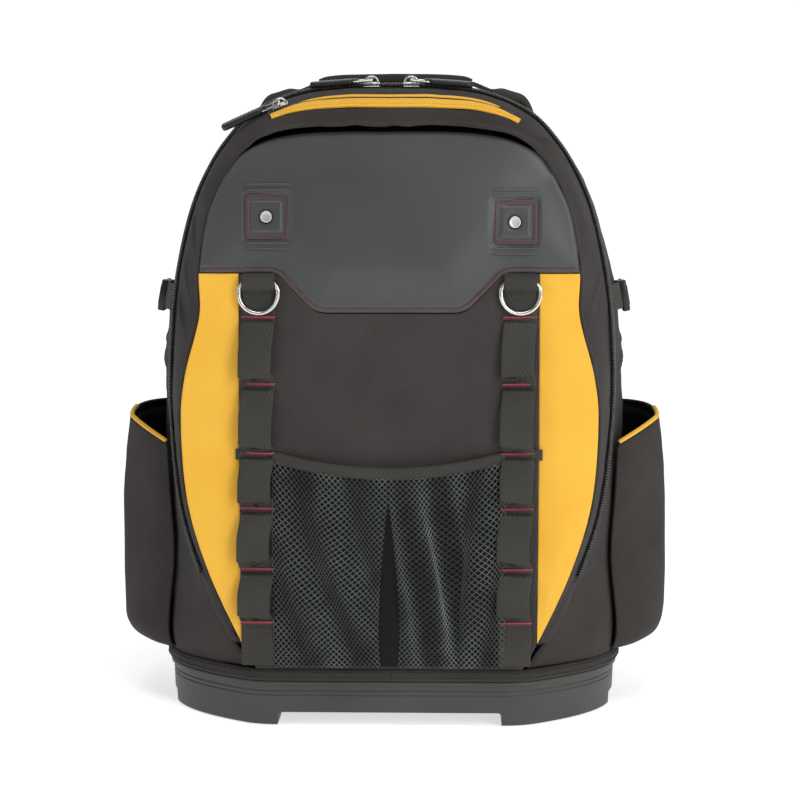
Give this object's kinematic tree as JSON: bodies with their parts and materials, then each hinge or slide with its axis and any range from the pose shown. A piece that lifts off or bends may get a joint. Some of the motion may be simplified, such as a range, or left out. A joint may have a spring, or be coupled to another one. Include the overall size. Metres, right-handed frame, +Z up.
{
  "type": "tool backpack",
  "caption": "Tool backpack that stands on a moulded tray: zipped shell with moulded front panel, webbing ladders, net front pockets, side pockets, carry handle and padded shoulder straps.",
  "frame": {"origin": "middle of the object's box, on the surface that its tray stands on", "axes": "+Z up, front faces -Y, shoulder straps towards +Y, +X to the right as seen from the front"},
  "size_m": [0.4246, 0.2816, 0.483],
  "materials": {
    "body_cloth": "coarse woven polyester, charcoal, matt with a dry sheen",
    "panel_cloth": "fine diagonal weave, charcoal brown, matt",
    "yellow_cloth": "coarse woven polyester, warm yellow",
    "moulded_foam": "moulded foam sheet, dark grey, satin",
    "netting": "knitted polyester net, near black",
    "webbing": "woven webbing, dark grey with close ribs",
    "zipper_tape": "coil zipper on woven tape, black",
    "moulded_tray": "moulded thermoplastic rubber, dark grey, fine grain",
    "nickel_steel": "nickel plated steel, bright",
    "black_plastic": "moulded acetal, black, satin",
    "air_mesh": "spacer mesh over foam, near black"
  },
  "bodies": {
    "bag": {"front_gusset": "body_cloth", "main_zipper": "zipper_tape", "rear_gusset": "body_cloth", "back_panel": "air_mesh", "base_tray": "moulded_tray", "base_binding": "body_cloth", "moulded_panel": "moulded_foam", "front_panel": "panel_cloth", "left_yellow_panel": "yellow_cloth", "right_yellow_panel": "yellow_cloth", "left_patch": "moulded_foam", "left_rivet": "nickel_steel", "right_patch": "moulded_foam", "right_rivet": "nickel_steel", "left_ladder": "webbing", "right_ladder": "webbing", "mesh_binding": "webbing", "left_mesh_pocket": "netting", "right_mesh_pocket": "netting", "left_side_pocket": "body_cloth", "left_pocket_piping": "yellow_cloth", "right_side_pocket": "body_cloth", "right_pocket_piping": "yellow_cloth", "front_flap": "yellow_cloth", "flap_piping": "yellow_cloth", "carry_handle": "webbing", "left_slider": "nickel_steel", "right_slider": "nickel_steel", "pocket_slider": "nickel_steel", "left_side_strap": "webbing", "left_side_buckle": "black_plastic", "right_side_strap": "webbing", "right_side_buckle": "black_plastic", "left_back_pad": "air_mesh", "right_back_pad": "air_mesh", "lumbar_pad": "air_mesh", "left_shoulder_strap": "air_mesh", "left_strap_adjuster": "black_plastic", "left_strap_webbing": "webbing", "right_shoulder_strap": "air_mesh", "right_strap_adjuster": "black_plastic", "right_strap_webbing": "webbing"},
    "left_ring": {"left_d_ring": "nickel_steel"},
    "right_ring": {"right_d_ring": "nickel_steel"},
    "left_pull": {"left_pull_link": "nickel_steel", "left_pull_tab": "black_plastic"},
    "right_pull": {"right_pull_link": "nickel_steel", "right_pull_tab": "black_plastic"},
    "pocket_pull": {"pocket_pull_link": "nickel_steel", "pocket_pull_tab": "black_plastic"}
  },
  "joints": [
    {"name": "left_ring_hinge", "type": "hinge", "parent": "bag", "child": "left_ring", "pos_m": [-0.094, -0.12918, 0.3243], "axis": [-0.9971, 0.0764, 0], "range_deg": [0, 100]},
    {"name": "right_ring_hinge", "type": "hinge", "parent": "bag", "child": "right_ring", "pos_m": [0.094, -0.12918, 0.3243], "axis": [-0.9971, -0.0764, 0], "range_deg": [0, 100]},
    {"name": "left_pull_hinge", "type": "hinge", "parent": "bag", "child": "left_pull", "pos_m": [-0.01463, -0.05894, 0.4708], "axis": [-0.0036, 0.9875, 0.1578], "range_deg": [0, 110]},
    {"name": "right_pull_hinge", "type": "hinge", "parent": "bag", "child": "right_pull", "pos_m": [0.01463, -0.05894, 0.4708], "axis": [-0.0036, -0.9875, -0.1578], "range_deg": [0, 110]},
    {"name": "pocket_pull_hinge", "type": "hinge", "parent": "bag", "child": "pocket_pull", "pos_m": [-0.08107, -0.08544, 0.45368], "axis": [-0.1321, 0.9415, 0.31], "range_deg": [0, 110]}
  ]
}
